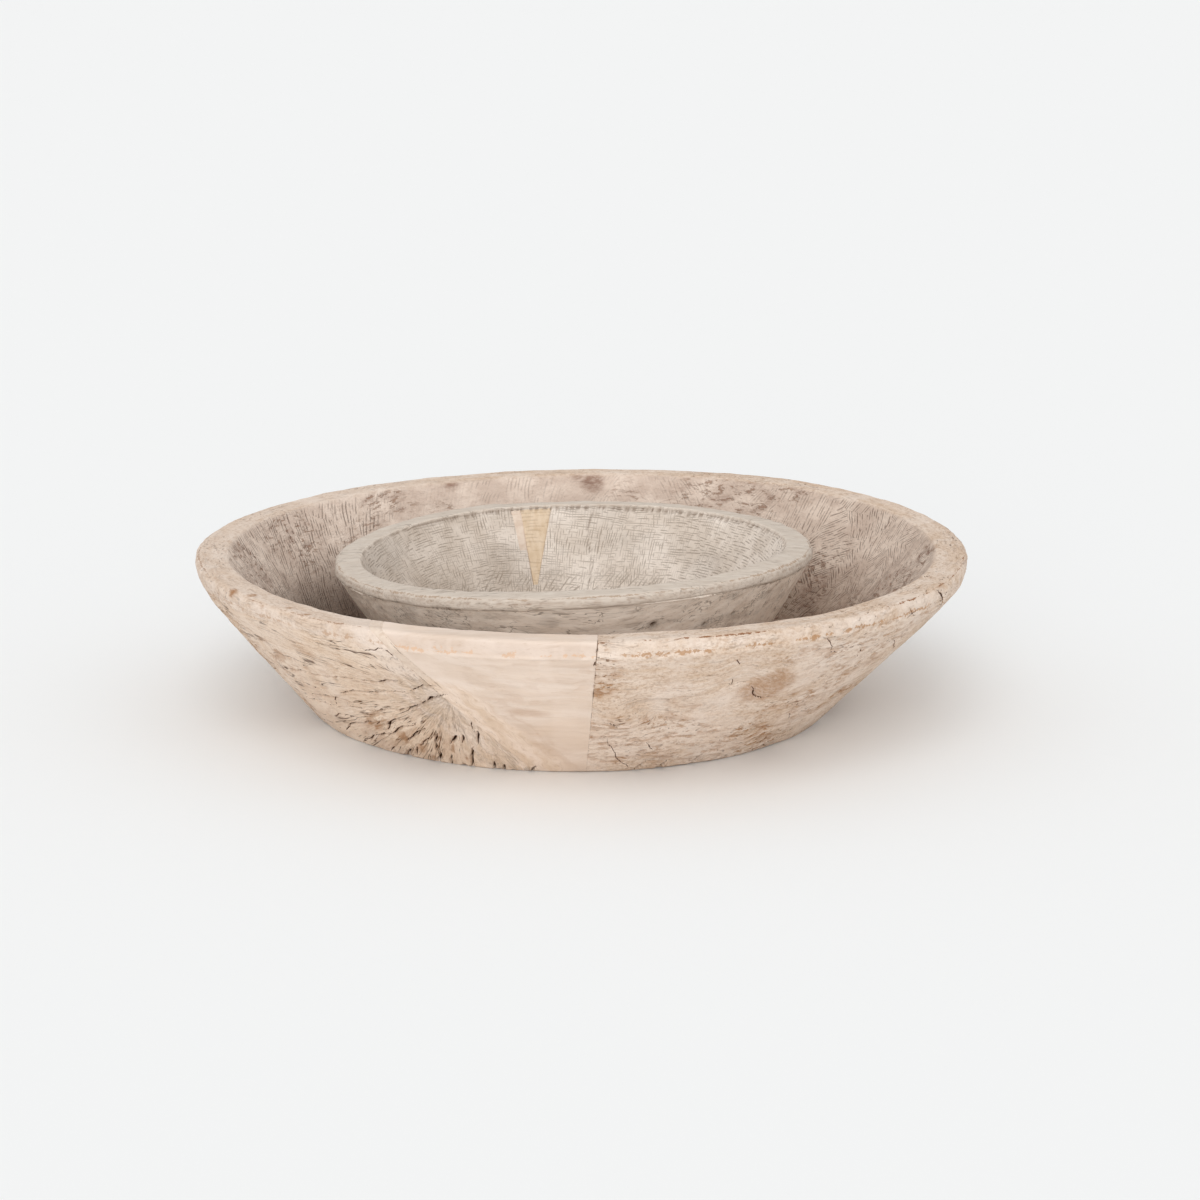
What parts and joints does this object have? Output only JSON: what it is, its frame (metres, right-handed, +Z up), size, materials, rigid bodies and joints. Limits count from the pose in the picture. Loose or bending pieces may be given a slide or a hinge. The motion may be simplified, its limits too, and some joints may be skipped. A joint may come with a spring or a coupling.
{
  "type": "dough bowl",
  "caption": "Nested hand-carved round wooden dough bowls, the smaller standing loose inside the larger, with let-in wood repairs.",
  "frame": {"origin": "on the table under the centre of the large rim", "axes": "+Z up, the patched front of the large bowl faces -Y, +X to the right seen from the front"},
  "size_m": [0.56, 0.56, 0.113],
  "materials": {
    "large_wood": "bleached, hand-tooled, matt",
    "patch_wood": "bleached, smooth, matt",
    "small_wood": "bleached grey, hand-tooled, matt",
    "wedge_wood": "raw, sanded, matt",
    "filler": "wood putty, matt"
  },
  "bodies": {
    "large": {"large_bowl": "large_wood", "large_bowl_patch": "patch_wood", "large_bowl_filler": "filler"},
    "small": {"small_bowl": "small_wood", "small_bowl_wedge": "wedge_wood", "small_bowl_filler": "filler"}
  },
  "joints": [
    {"name": "small_bowl_lift", "type": "slide", "parent": "large", "child": "small", "axis": [0, 0, 1], "range_m": [0, 0.13]}
  ]
}
